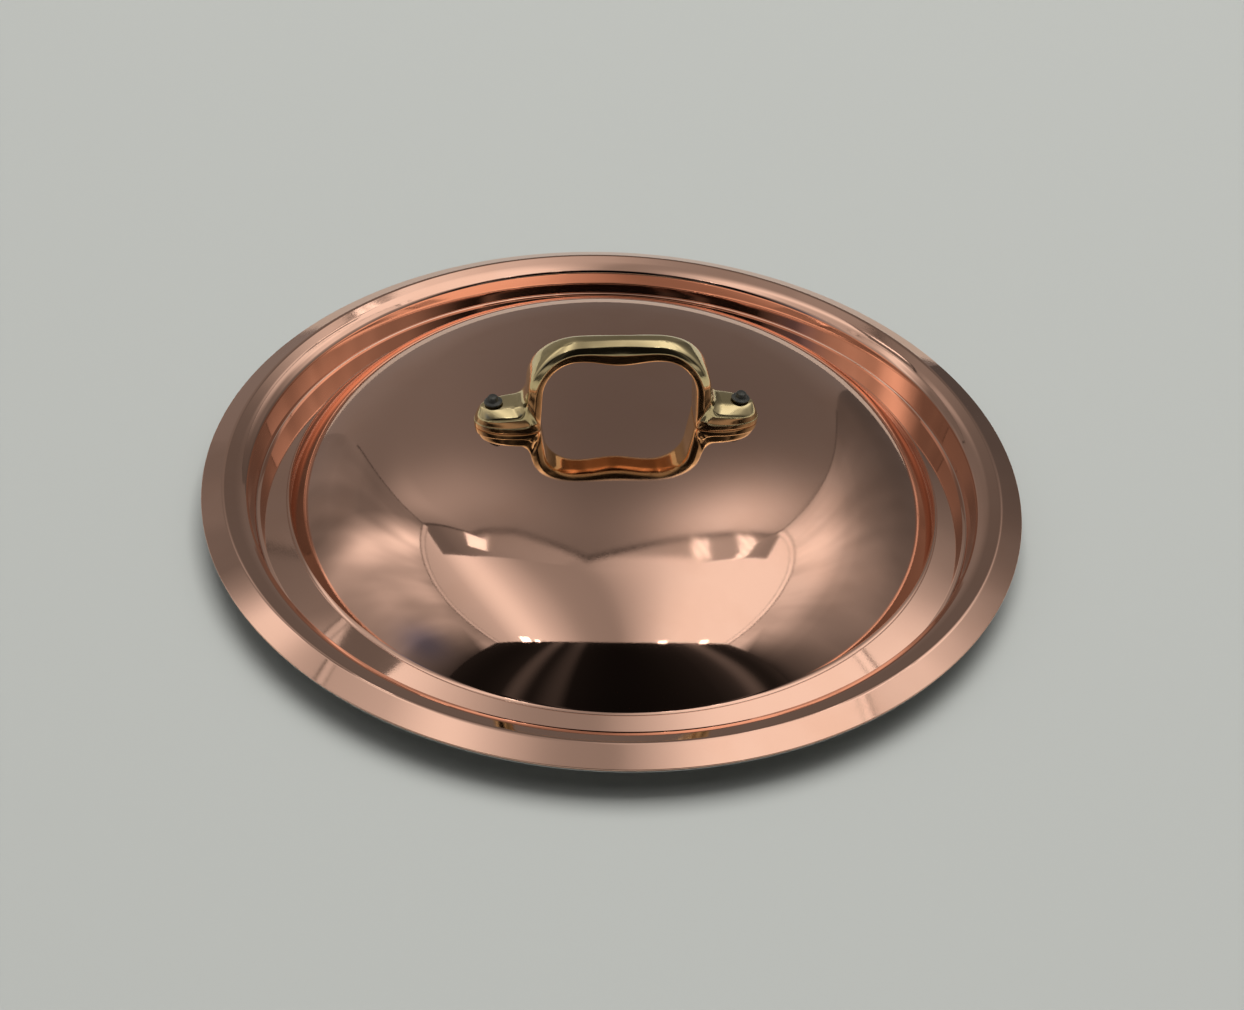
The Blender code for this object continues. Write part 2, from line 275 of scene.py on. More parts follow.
def sheet_marks(sizes, dome_steps, bend_steps, scored):
    """Upper face of the sheet from its middle to its edge, as points with their slopes."""
    foot = Vector((sizes.foot_radius, sizes.thickness + sizes.ring_drop))
    rest_inner = foot + Vector((sizes.ring_width, -sizes.ring_drop))
    rest_outer = rest_inner + Vector((sizes.rest_width, 0.0))
    roll = rest_outer + Vector((sizes.wall_lean, sizes.wall_rise))
    band = roll + Vector((sizes.roll_width, sizes.roll_rise))
    crest = band + Vector((sizes.band_width, sizes.band_rise))
    edge = Vector((sizes.brim_radius, crest.y - sizes.brim_drop))
    foot_slope = -sizes.foot_slope
    corners = [foot - heading(foot_slope)[0], foot, rest_inner, rest_outer, roll, band, crest, edge]
    radii = [sizes.foot_bend, sizes.ring_bend, sizes.rest_bend, sizes.wall_bend, sizes.band_bend,
             sizes.crest_bend]
    bends = [bend(corners[i], corners[i + 1], corners[i + 2], radius, bend_steps, sizes.thickness)
             for i, radius in enumerate(radii)]
    marks = dome_marks(sizes, bends[0][0][0], foot_slope, dome_steps)
    marks += bends[0]
    if scored:
        marks += groove_marks(sizes, *bends[0][-1], 2 * bend_steps)
    for marked in bends[1:]:
        marks += marked
    marks.append((edge, math.atan2(edge.y - crest.y, edge.x - crest.x)))
    return marks


def face_marks(sizes, depth, side, dome_steps, bend_steps, scored=False):
    """One face of a layer, as points with normals. Side is 1 for an upper face and -1 for a lower."""
    marks = []
    for point, slope in sheet_marks(sizes, dome_steps, bend_steps, scored):
        square = heading(slope)[1]
        marks.append((point - square * depth, square * side))
    return marks


def edge_marks(sizes, depth, thickness, steps):
    """Cut edge of a layer, with both corners rounded, as points with normals."""
    edge, slope = sheet_marks(sizes, 1, 1, False)[-1]
    along, square = heading(slope)
    radius = min(sizes.edge_round, thickness / 2)
    marks = []
    for centre_depth, start in ((radius, math.pi / 2), (thickness - radius, 0.0)):
        centre = edge - along * radius - square * (depth + centre_depth)
        for step in range(steps + 1):
            turn = start - math.pi / 2 * step / steps
            normal = along * math.cos(turn) + square * math.sin(turn)
            marks.append((centre + normal * radius, normal))
    return marks


def layer_marks(sizes, depth, thickness, upper_steps, lower_steps, scored):
    """Closed outline of one layer of the sheet."""
    upper = face_marks(sizes, depth, 1, *upper_steps, scored)
    lower = face_marks(sizes, depth + thickness, -1, *lower_steps)
    return upper[:-1] + edge_marks(sizes, depth, thickness, RIM_STEPS) + lower[-2::-1]


def turned(name, marks, turn_steps):
    """Turn an outline about the Z axis. Its ends lie on the axis, and its normals are kept."""
    verts = []
    normals = []
    rings = []
    for point, normal in marks:
        steps = turn_steps if point.x > MERGE_DISTANCE else 1
        rings.append([len(verts) + step for step in range(steps)])
        for step in range(steps):
            turn = math.tau * step / turn_steps
            cosine, sine = math.cos(turn), math.sin(turn)
            verts.append((point.x * cosine, point.x * sine, point.y))
            normals.append((normal.x * cosine, normal.x * sine, normal.y))
    faces = []
    for inner, outer in zip(rings, rings[1:]):
        for step in range(turn_steps):
            after = (step + 1) % turn_steps
            corners = [inner[step % len(inner)], outer[step % len(outer)],
                       outer[after % len(outer)], inner[after % len(inner)]]
            faces.append(list(dict.fromkeys(corners)))
    mesh = bpy.data.meshes.new(name)
    mesh.from_pydata(verts, [], faces)
    mesh.shade_smooth()
    mesh.normals_split_custom_set_from_vertices(normals)
    return add_piece(name, mesh)


def add_piece(name, mesh):
    """Put a mesh in the scene as a named object."""
    piece = bpy.data.objects.new(name, mesh)
    bpy.context.scene.collection.objects.link(piece)
    return piece


def dome_height(sizes, radius):
    """Height of the crown's upper face at a radius."""
    return sizes.crown_top - sizes.crown_radius + math.sqrt(sizes.crown_radius ** 2 - radius ** 2)


# Cast loop


# Corners of half a section, from the middle of the outside to the middle of the inside. Each
# has its place across and its height, as shares of the depth and thickness there.
BAR_CORNERS = ((0.00, 1.00), (0.34, 0.99), (0.76, 0.84), (1.00, 0.61), (0.99, 0.50), (0.92, 0.14),
               (0.62, 0.00), (0.00, 0.00))
STEM_CORNERS = ((0.00, 1.00), (0.50, 1.00), (0.85, 0.93), (1.00, 0.50), (1.00, 0.42), (0.86, 0.08),
                (0.66, 0.00), (0.00, 0.00))
PAD_CORNERS = ((0.00, 1.00), (0.48, 1.00), (0.90, 0.77), (0.975, 0.29), (1.00, 0.27), (1.00, 0.03),
               (0.98, 0.00), (0.00, 0.00))
CORNER_RADII = (0.0, 0.0014, 0.0009, 0.0002, 0.0002, 0.0006, 0.0006, 0.0)

# The same corners at a pad's tip: how far in from the tip, and the height as a share of the land's
TIP_CORNERS = ((0.0022, 0.95), (0.0022, 0.95), (0.0008, 0.56), (0.0002, 0.29), (0.0, 0.27),
               (0.0, 0.03), (0.0001, 0.0), (0.0001, 0.0))

PAD_STEPS = 16
HEEL_STEPS = 10
STEM_STEPS = 6
CORNER_STEPS = 14
BAR_STEPS = 18
ROUND_STEPS = 3
ROUND_LIMIT = 0.48
PAD_PLAN_POWER = 2.3
WAVES_PER_METRE = 110.0


def rail(tip, heel, top, crown, heel_radius, top_radius):
    """One outline of half the loop past its pad, as a list of points.

    The bar is a shallow arch, whose middle is the crown above the corner's own point.
    """
    steepness = crown / (top.x / 2 + top_radius / 2)
    aim = Vector((0.0, top.y + steepness * top.x))
    marks = bend(tip, heel, top, heel_radius, HEEL_STEPS)
    top_marks = bend(heel, top, aim, top_radius, CORNER_STEPS)
    points = [point for point, slope in marks]
    for step in range(1, STEM_STEPS):
        points.append(marks[-1][0].lerp(top_marks[0][0], step / STEM_STEPS))
    points += [point for point, slope in top_marks]
    end = points[-1]
    for step in range(1, BAR_STEPS + 1):
        out = 1 - step / BAR_STEPS
        points.append(Vector((end.x * out, end.y + (aim.y - end.y) / 2 * (1 - out * out))))
    return points


def handle_rails(sheet, sizes, rivet):
    """Outer and inner rails of half the loop, and the ends of its pad's land and underside."""
    inner_x = sizes.opening_width / 2
    outer_x = inner_x + sizes.stem_thickness
    tip_x = inner_x + sizes.pad_length
    rivet_x = tip_x - rivet.inset
    lean = -rivet_x / sheet.crown_radius
    land = dome_height(sheet, rivet_x) + sizes.pad_thickness
    top = HANDLE_HIGH[2]

    outer_tip = Vector((tip_x, land + (tip_x - rivet_x) * lean))
    outer_heel = Vector((outer_x, land + (outer_x - rivet_x) * lean))
    outer_top = Vector((outer_x - sizes.stem_lean, top - sizes.bar_crown))
    inner_tip = Vector((tip_x, dome_height(sheet, tip_x) + sizes.seat_gap))
    inner_heel = Vector((inner_x, dome_height(sheet, inner_x) + sizes.seat_gap))
    inner_top = Vector((inner_x - sizes.stem_lean, outer_top.y - sizes.bar_thickness))
    crown = sizes.bar_crown
    outer = rail(outer_tip, outer_heel, outer_top, crown, sizes.pad_fillet, sizes.outer_corner)
    inner = rail(inner_tip, inner_heel, inner_top, crown, sizes.pad_heel, sizes.inner_corner)
    return outer, inner, outer_tip, inner_tip


def short_of(corner, other, distance):
    """Point at a distance from a corner, or short of halfway to the other."""
    reach = other - corner
    return corner + reach * min(ROUND_LIMIT, distance / max(reach.length, MERGE_DISTANCE))


def rounded(corners, radii):
    """Round the corners of an open line of points. Its ends stay."""
    points = [corners[0]]
    for before, corner, after, radius in zip(corners, corners[1:], corners[2:], radii[1:]):
        start = short_of(corner, before, radius)
        end = short_of(corner, after, radius)
        for step in range(ROUND_STEPS + 1):
            along = step / ROUND_STEPS
            points.append(start.lerp(corner, along).lerp(corner.lerp(end, along), along))
    return points + [corners[-1]]


def pad_station(index, outer, inner, outer_tip, inner_tip, depth):
    """Corners of half a section in a pad, from its tip at index 0 to its heel."""
    turn = math.pi / 2 * index / PAD_STEPS
    along = 1 - math.cos(turn) ** (2 / PAD_PLAN_POWER)
    swell = math.sin(turn) ** (2 / PAD_PLAN_POWER)
    corners = []
    for (across, height), (inset, rise) in zip(PAD_CORNERS, TIP_CORNERS):
        start = inner_tip.lerp(outer_tip, rise) - Vector((inset, 0.0))
        place = start.lerp(inner[0].lerp(outer[0], height), along)
        corners.append(Vector((place.x, -across * depth / 2 * swell, place.y)))
    return corners


def loop_station(outer, inner, depth, stem_share, bar_share, pull):
    """Corners of half a section past the pad, eased from the pad's to the stem's, then the bar's.

    Pull scales the heights of the corners near the inside, so that the ridge runs straight down
    where the sections fan out over the heel.
    """
    corners = []
    for pad, stem, bar in zip(PAD_CORNERS, STEM_CORNERS, BAR_CORNERS):
        across, height = Vector(pad).lerp(Vector(stem), stem_share).lerp(Vector(bar), bar_share)
        place = inner.lerp(outer, height * pull if pad[1] < 0.5 else height)
        corners.append(Vector((place.x, -across * depth / 2, place.y)))
    return corners


def heel_pull(outer, inner, level):
    """Pull of a slanted section: its level length over its own, kept to the slant of its sides."""
    span = outer - inner
    return level / max(abs(span.x), abs(span.y))


def round_heel(corners, inner_x, depth, radius):
    """Draw half a section in where it passes the inner corner of the foot, rounded in plan."""
    limited = []
    for corner in corners:
        past = max(0.0, radius - (corner.x - inner_x))
        limit = depth / 2 - radius + math.sqrt(max(0.0, radius ** 2 - past ** 2))
        limited.append(Vector((corner.x, max(corner.y, -limit), corner.z)))
    return limited


def smooth_share(value):
    """Ease from 0 to 1 with flat ends."""
    value = min(1.0, max(0.0, value))
    return value * value * (3 - 2 * value)


def handle_half(sheet, sizes, rivet):
    """Half sections of half the loop, from a pad's tip to the middle of the bar."""
    outer, inner, outer_tip, inner_tip = handle_rails(sheet, sizes, rivet)
    half_flat = sizes.opening_width / 2 - sizes.stem_lean - sizes.inner_corner
    neck = HEEL_STEPS + STEM_STEPS
    pad_height = (outer[0] - inner[0]).length
    stations = [pad_station(i, outer, inner, outer_tip, inner_tip, sizes.pad_depth)
                for i in range(PAD_STEPS)]
    for index, (above, below) in enumerate(zip(outer, inner)):
        if index > neck and below.x < half_flat:
            swell = sizes.scallop_depth * math.cos(math.pi / 2 * below.x / half_flat) ** 2
            below = below - Vector((0.0, swell))
        stem_share = smooth_share(index / HEEL_STEPS)
        bar_share = smooth_share((index - neck) / CORNER_STEPS)
        depth = sizes.pad_depth + (sizes.stem_depth - sizes.pad_depth) * smooth_share(index / neck)
        depth += (sizes.bar_depth - sizes.stem_depth) * bar_share
        pull = 1.0
        if index < HEEL_STEPS:
            level = pad_height + (sizes.stem_thickness - pad_height) * stem_share
            pull = heel_pull(above, below, level)
        station = loop_station(above, below, depth, stem_share, bar_share, pull)
        if index <= HEEL_STEPS:
            station = round_heel(station, sizes.opening_width / 2, depth, sizes.heel_corner)
        stations.append(station)
    return stations


def handle_rings(sheet, sizes, rivet):
    """Closed sections of the whole loop."""
    rings = []
    for corners in handle_half(sheet, sizes, rivet):
        front = rounded(corners, CORNER_RADII)
        back = [Vector((point.x, -point.y, point.z)) for point in front[-2:0:-1]]
        rings.append(front + back)
    mirrored = [[Vector((-point.x, point.y, point.z)) for point in ring] for ring in rings[-2::-1]]
    return rings + mirrored


def handle_mesh(sheet, sizes, rivet):
    """Loft the loop, close its tips and leave it faintly uneven, as hand polishing does."""
    bm = bmesh.new()
    rings = [[bm.verts.new(point) for point in ring] for ring in handle_rings(sheet, sizes, rivet)]
    for ring, following in zip(rings, rings[1:]):
        for i in range(len(ring)):
            bm.faces.new((ring[i - 1], ring[i], following[i], following[i - 1]))
    bmesh.ops.remove_doubles(bm, verts=bm.verts, dist=MERGE_DISTANCE)
    bmesh.ops.dissolve_degenerate(bm, edges=bm.edges, dist=MERGE_DISTANCE)
    bmesh.ops.recalc_face_normals(bm, faces=bm.faces)
    bm.normal_update()
    floor_gap = 2 * sizes.seat_gap
    for vert in bm.verts:
        clear = vert.co.z - dome_height(sheet, math.hypot(vert.co.x, vert.co.y))
        if clear > floor_gap:
            vert.co += vert.normal * noise.noise(vert.co * WAVES_PER_METRE) * sizes.waviness
    mesh = bpy.data.meshes.new("brass_handle")
    bm.to_mesh(mesh)
    bm.free()
    mesh.shade_smooth()
    return mesh


# Rivets


PEEN_SEAT = 0.0001
PEEN_RIM = 0.0004
HEAD_EDGE = 0.0003
HEAD_STEPS = 6
RIVET_STEPS = 36
DENTS_PER_METRE = 450.0
DENT_DEPTH = 0.00012


def rivet_marks(sheet, handle, sizes):
    """Half outline of a rivet, from the top of its hammered end to the middle of its head."""
    low = handle.pad_thickness + handle.seat_gap
    top = low + sizes.peen_height
    under = -sheet.thickness - handle.seat_gap
    nipple = sizes.nipple / 2
    peen = sizes.peen / 2
    head = sizes.head / 2
    stub = sizes.nipple_height
    points = [(0.0, top + stub), (0.7 * nipple, top + stub), (0.95 * nipple, top + 0.8 * stub),
              (1.05 * nipple, top + 0.15 * stub), (1.2 * nipple, top), (0.9 * peen, top - PEEN_SEAT),
              (peen, top - PEEN_RIM), (0.98 * peen, low + PEEN_SEAT), (0.9 * peen, low),
              (sizes.shank / 2, low), (sizes.shank / 2, under), (head, under),
              (head, under - HEAD_EDGE)]
    for step in range(1, HEAD_STEPS + 1):
        turn = math.pi / 2 * step / HEAD_STEPS
        drop = (sizes.head_height - HEAD_EDGE) * math.sin(turn)
        points.append((head * math.cos(turn), under - HEAD_EDGE - drop))
    return [Vector(point) for point in points]


def rivet_mesh(name, sheet, handle, sizes, side, seed):
    """Turn a rivet, lean its hammered end outwards and leave hammer marks on it."""
    bm = bmesh.new()
    ring = [bm.verts.new((point.x, 0.0, point.y)) for point in rivet_marks(sheet, handle, sizes)]
    edges = [bm.edges.new(pair) for pair in zip(ring, ring[1:])]
    bmesh.ops.spin(bm, geom=ring + edges, axis=(0, 0, 1), cent=(0, 0, 0), angle=math.tau,
                   steps=RIVET_STEPS, use_merge=True)
    bmesh.ops.remove_doubles(bm, verts=bm.verts, dist=MERGE_DISTANCE)
    bmesh.ops.recalc_face_normals(bm, faces=bm.faces)
    bm.normal_update()
    for vert in bm.verts:
        rise = vert.co.z - handle.pad_thickness
        if rise > 2 * handle.seat_gap:
            dent = noise.noise(vert.co * DENTS_PER_METRE + Vector((seed, 0.0, 0.0)))
            vert.co += vert.normal * dent * DENT_DEPTH
            vert.co.x += side * rise * sizes.slant
    mesh = bpy.data.meshes.new(name)
    bm.to_mesh(mesh)
    bm.free()
    mesh.shade_smooth()
    mesh.set_sharp_from_angle(angle=math.radians(50.0))
    return mesh


def rivet_place(sheet, handle, sizes, side):
    """Place of a rivet: on the dome's upper face, square to it."""
    rivet_x = handle.opening_width / 2 + handle.pad_length - sizes.inset
    slope = math.asin(rivet_x / sheet.crown_radius)
    place = Matrix.Translation((side * rivet_x, 0.0, dome_height(sheet, rivet_x)))
    return place @ Matrix.Rotation(side * slope, 4, "Y")


# Finishes


# Depths of the marks on the metals
HAIRLINE_DEPTH = 0.0000016
COPPER_SWELL = 0.00009
RING_DEPTH = 0.000008
BROAD_RING_DEPTH = 0.00002
SCRATCH_DEPTH = 0.000002
BRASS_SWELL = 0.00003
HAMMER_DEPTH = 0.00005

# How bright dull steel and worn iron are, beside the rest of the metal
DULL_STEEL = 0.82
WORN_IRON = 2.2


def feed(tree, socket, value):
    """Link a socket to an input, or give the input a number or a colour."""
    if isinstance(value, bpy.types.NodeSocket):
        tree.links.new(value, socket)
    else:
        socket.default_value = value


def new_node(tree, kind, **inputs):
    """Add a shader node. Keywords set its properties, or feed its inputs where it has no property."""
    node = tree.nodes.new(kind)
    for name, value in inputs.items():
        if hasattr(node, name):
            setattr(node, name, value)
        else:
            feed(tree, node.inputs[name.replace("_", " ").title()], value)
    return node


def metal(name, tint, roughness):
    """A metal with its tint and roughness on the shader."""
    material = bpy.data.materials.new(name)
    material.use_nodes = True
    shader = material.node_tree.nodes["Principled BSDF"]
    shader.inputs["Base Color"].default_value = (*tint, 1.0)
    shader.inputs["Metallic"].default_value = 1.0
    shader.inputs["Roughness"].default_value = roughness
    return material, material.node_tree, shader


def noise_of(tree, coordinates, scale, detail=2.0, roughness=0.5):
    """Noise over a set of coordinates. Gives its socket, from 0 to 1."""
    texture = new_node(tree, "ShaderNodeTexNoise", vector=coordinates, scale=scale, detail=detail,
                       roughness=roughness)
    return texture.outputs["Fac"]


def remap(tree, value, low, high, out_low, out_high):
    """Scale a value from one range to another, and keep it there."""
    node = new_node(tree, "ShaderNodeMapRange", value=value, from_min=low, from_max=high,
                    to_min=out_low, to_max=out_high)
    return node.outputs["Result"]


def blend_colours(tree, factor, first, second):
    """Mix two colours by a factor."""
    node = new_node(tree, "ShaderNodeMix", data_type="RGBA")
    node.inputs[6].default_value = (*first, 1.0)
    node.inputs[7].default_value = (*second, 1.0)
    tree.links.new(factor, node.inputs[0])
    return node.outputs[2]


def maths(tree, operation, *values):
    """A maths node fed by sockets or numbers."""
    node = new_node(tree, "ShaderNodeMath", operation=operation)
    for socket, value in zip(node.inputs, values):
        feed(tree, socket, value)
    return node.outputs[0]


def object_coordinates(tree):
    """Coordinates that stay with the piece: metres, or on the tent shares of its height."""
    return new_node(tree, "ShaderNodeTexCoord").outputs["Object"]


def ring_coordinates(tree, turn_scale):
    """Radius in metres as X, and the turn about the middle, scaled, as Y."""
    split = new_node(tree, "ShaderNodeSeparateXYZ", vector=object_coordinates(tree)).outputs
    squares = maths(tree, "ADD", maths(tree, "POWER", split["X"], 2.0),
                    maths(tree, "POWER", split["Y"], 2.0))
    turn = maths(tree, "ARCTAN2", split["Y"], split["X"])
    join = new_node(tree, "ShaderNodeCombineXYZ", x=maths(tree, "SQRT", squares),
                    y=maths(tree, "MULTIPLY", turn, turn_scale))
    return join.outputs[0]


def blotched(tree, shader, mask, low, high, most, first, second):
    """Blend a metal's colour towards a second, up to a share, as a mask runs from low to high."""
    blend = blend_colours(tree, remap(tree, mask, low, high, 0.0, most), first, second)
    feed(tree, shader.inputs["Base Color"], blend)


def roughened(tree, shader, mask, low, high, smoothest, roughest):
    """Change a metal's roughness as a mask runs from low to high."""
    feed(tree, shader.inputs["Roughness"], remap(tree, mask, low, high, smoothest, roughest))


def bumps(tree, shader, *layers):
    """Chain bump layers, each a height socket and its depth in metres, into a shader's normal."""
    normal = None
    for height, depth in layers:
        node = new_node(tree, "ShaderNodeBump", strength=1.0, distance=depth)
        feed(tree, node.inputs["Height"], height)
        if normal:
            feed(tree, node.inputs["Normal"], normal)
        normal = node.outputs["Normal"]
    feed(tree, shader.inputs["Normal"], normal)


def polished_copper(finish):
    """Mirror copper with faint haze, beginning tarnish and hairlines that follow the turning."""
    material, tree, shader = metal("polished_copper", finish.copper, 0.035)
    place = object_coordinates(tree)
    haze = noise_of(tree, place, 22.0, 4.0, 0.6)
    blotched(tree, shader, haze, 0.52, 0.80, 0.35, finish.copper, finish.tarnish)
    roughened(tree, shader, haze, 0.40, 0.80, 0.030, 0.075)
    hairlines = noise_of(tree, ring_coordinates(tree, 0.02), 5200.0)
    swell = noise_of(tree, place, 26.0, 1.0)
    bumps(tree, shader, (hairlines, HAIRLINE_DEPTH), (swell, COPPER_SWELL))
    return material


def ringed_steel(finish):
    """Lining brushed in rings, with duller patches."""
    material, tree, shader = metal("ringed_steel", finish.steel, 0.26)
    rings = noise_of(tree, ring_coordinates(tree, 0.01), 2600.0, 3.0, 0.6)
    broad = noise_of(tree, ring_coordinates(tree, 0.002), 300.0)
    patches = noise_of(tree, object_coordinates(tree), 20.0, 3.0)
    dull = tuple(DULL_STEEL * value for value in finish.steel)
    blotched(tree, shader, broad, 0.35, 0.70, 0.5, finish.steel, dull)
    roughened(tree, shader, patches, 0.35, 0.70, 0.22, 0.34)
    bumps(tree, shader, (rings, RING_DEPTH), (broad, BROAD_RING_DEPTH))
    return material


def polished_brass(finish):
    """Cast brass, polished by hand: bright, faintly uneven, with fine scratches and duller, darker
    patches at random.
    """
    material, tree, shader = metal("polished_brass", finish.brass, 0.09)
    place = object_coordinates(tree)
    patches = noise_of(tree, place, 70.0, 4.0, 0.6)
    blotched(tree, shader, patches, 0.48, 0.78, 0.6, finish.brass, finish.brass_dull)
    roughened(tree, shader, patches, 0.35, 0.75, 0.07, 0.16)
    scratches = noise_of(tree, place, 2400.0)
    swell = noise_of(tree, place, 160.0, 1.0)
    bumps(tree, shader, (scratches, SCRATCH_DEPTH), (swell, BRASS_SWELL))
    return material


def dark_iron(finish):
    """Blackened iron with hammer marks."""
    material, tree, shader = metal("dark_iron", finish.iron, 0.42)
    feed(tree, shader.inputs["Metallic"], 0.7)
    place = object_coordinates(tree)
    patches = noise_of(tree, place, 500.0, 4.0)
    worn = tuple(WORN_IRON * value for value in finish.iron)
    blotched(tree, shader, patches, 0.50, 0.75, 0.8, finish.iron, worn)
    roughened(tree, shader, patches, 0.3, 0.7, 0.36, 0.55)
    bumps(tree, shader, (noise_of(tree, place, 900.0, 3.0), HAMMER_DEPTH))
    return material


# Studio


# Level at which the camera sees the tent and the world
PALE = 0.62

# Reach of the floor and height of the soft lamp, for each unit of the tent's height
FLOOR_REACH = 1.2
LAMP_HEIGHT = 0.9

# The light tent is drawn at unit height and scaled to its own, so its places and sizes are shares
# of its height. First the corners of its ceiling in front, and how far its sides bow
FRONT_RIGHT = (0.53, -0.41)
FRONT_LEFT = (-0.58, -0.40)
SIDE_BULGE = 0.17
FRONT_DIP = 0.08
EDGE_STEPS = 16

# Seam of back cloth and ceiling, which sags in its middle, and the lower edge of a strip of cloth
# that hangs from it
BACK_EDGE = ((-0.450, 0.690), (-0.250, 0.745), (-0.165, 0.772), (-0.100, 0.750), (0.030, 0.640),
             (0.100, 0.667), (0.200, 0.704), (0.330, 0.748), (0.452, 0.770))
STRIP_EDGE = ((-0.460, 0.435), (-0.300, 0.475), (-0.150, 0.560), (0.030, 0.638), (0.240, 0.645),
              (0.330, 0.593), (0.460, 0.475))

# Brightness across the ceiling and its strip, and up and along each wall, each as a place from 0
# to 1 and a level
CEILING_STOPS = ((0.0, 0.45), (0.20, 0.58), (0.28, 0.92), (0.34, 0.72), (0.41, 0.40), (0.48, 0.29),
                 (0.53, 0.38), (0.60, 0.75), (0.66, 0.98), (1.0, 0.96))
STRIP_STOPS = ((0.0, 0.14), (0.12, 0.16), (0.30, 0.27), (0.65, 0.38), (0.82, 0.44), (1.0, 0.24))
LEFT_UP = ((0.0, 0.26), (0.25, 0.32), (0.45, 0.68), (0.65, 0.80), (0.85, 1.0), (1.0, 0.85))
LEFT_ALONG = ((0.0, 0.32), (0.21, 0.42), (0.55, 0.52), (0.72, 0.60), (0.84, 1.0), (0.92, 0.60),
              (1.0, 0.24))
RIGHT_UP = ((0.0, 0.16), (0.25, 0.19), (0.50, 0.36), (0.62, 0.54), (0.76, 0.88), (1.0, 1.0))
RIGHT_ALONG = ((0.0, 0.70), (0.25, 0.66), (0.45, 0.76), (0.60, 1.0), (0.68, 0.95), (0.76, 0.70),
               (1.0, 0.40))
BACK_UP = ((0.0, 0.21), (0.20, 0.20), (0.40, 0.175), (0.65, 0.18), (0.85, 0.22), (1.0, 0.22))
BACK_ALONG = ((0.0, 1.0), (0.35, 0.98), (0.50, 0.75), (0.62, 0.70), (1.0, 0.80))
FRONT_UP = ((0.0, 0.50), (0.30, 0.60), (0.80, 0.70), (1.0, 1.0))
FRONT_ALONG = ((0.0, 0.02), (0.28, 0.02), (0.315, 0.10), (0.35, 0.02), (0.405, 0.06), (0.43, 0.012),
               (0.70, 0.02), (0.77, 0.06), (0.815, 0.15), (0.865, 0.03), (1.0, 0.045))

# How far the ceiling's and the strip's changes reach to each side, and the ends of the side cloths'
# changes, in front and behind
CEILING_REACH = 0.8
STRIP_REACH = 0.46
LEFT_ENDS = (-0.40, 0.69)
RIGHT_ENDS = (-0.41, 1.124)

# Soft bright patches on the back wall: place across and up, size across and up, and level
BACK_PATCHES = (((0.31, 0.93), (0.14, 0.17), 0.60), ((-0.30, 0.82), (0.20, 0.13), 0.17))

# Soft cool patch on the left wall: place back and up, size back and up, its colour, and how far it
# dims the wall
COOL_PATCH = ((-0.24, 0.46), (0.10, 0.16))
COOL_COLOUR = (0.58, 0.68, 1.0)
COOL_DIMMING = 0.7

# Upright folds of the side cloths
FOLD_STRETCH = (1.0, 1.0, 0.25)
FOLD_SCALE = 5.33
FOLD_RANGE = (0.36, 0.68)

# Heights between which the side cloths' low glow fades, the places and levels of the shade at their
# front end, and the heights between which that shade ends
GLOW_RANGE = (0.25, 0.50)
SHADE_RANGE = (-0.41, -0.21)
SHADE_LEVELS = (0.10, 1.0)
SHADE_TOP = (0.72, 0.88)

# Low bright band in the opening: heights and levels at its foot, and the heights where it ends
BAND_FOOT = (0.08, 0.11)
BAND_LEVELS = (0.05, 0.30)
BAND_TOP = (0.16, 0.185)

# Stripes of the striped lamps: how far they slant, how far apart they are, where they fade from one
# level to the other, and the share of the brighter level that the dimmer one has
STRIPE_SLANT = 0.35
STRIPE_PITCH = 0.010
STRIPE_EDGE = (0.3, 0.7)
STRIPE_DIMMING = 0.55

# How far under the ceiling the strip, the trims and the lamps hang
STRIP_DROP = 0.00244
TRIM_DROP = 0.00488
LAMP_DROP = 0.00976

# Trims round the ceiling, each as its distance inside the outline and its width, and their levels
SEAM = (0.0, 0.007)
BACK_SEAM = (0.0, 0.016)
FRAME_TRIM = (0.009, 0.024)
HEM = (0.033, 0.005)
SEAM_LEVEL = 0.06
LEFT_FRAME_LEVEL = 0.58
RIGHT_FRAME_LEVEL = 1.05
HEM_DIMMING = 0.35

# Seams down the back corners: how far in they stand, half their width, and their lower end
CORNER_INSET = 0.985
CORNER_HALF_WIDTH = 0.00293
CORNER_FOOT = 0.35

# Striped lamps on the strip and glints at the front edge: place across and forward, width, depth,
# slant and level
STRIP_LAMPS = (((-0.213, 0.655), 0.067, 0.150, 0.35, 1.8), ((0.250, 0.672), 0.034, 0.062, 0.1, 1.8),
               ((0.347, 0.650), 0.038, 0.165, 0.0, 1.8))
FRONT_LAMPS = (((-0.380, -0.345), 0.044, 0.085, 0.0, 4.5), ((-0.325, -0.338), 0.020, 0.030, 0.0, 5.0),
               ((0.190, -0.330), 0.034, 0.042, 0.0, 4.0), ((0.380, -0.352), 0.036, 0.042, 0.0, 4.0))


def bowed(start, end, dip):
    """Points from one corner of the tent towards the next, drawn in by a distance at the middle."""
    start, end = Vector(start), Vector(end)
    along = (end - start).normalized()
    inward = Vector((along.y, -along.x)) * dip
    points = []
    for step in range(EDGE_STEPS):
        part = step / EDGE_STEPS
        points.append(start.lerp(end, part) + inward * 4 * part * (1 - part))
    return points


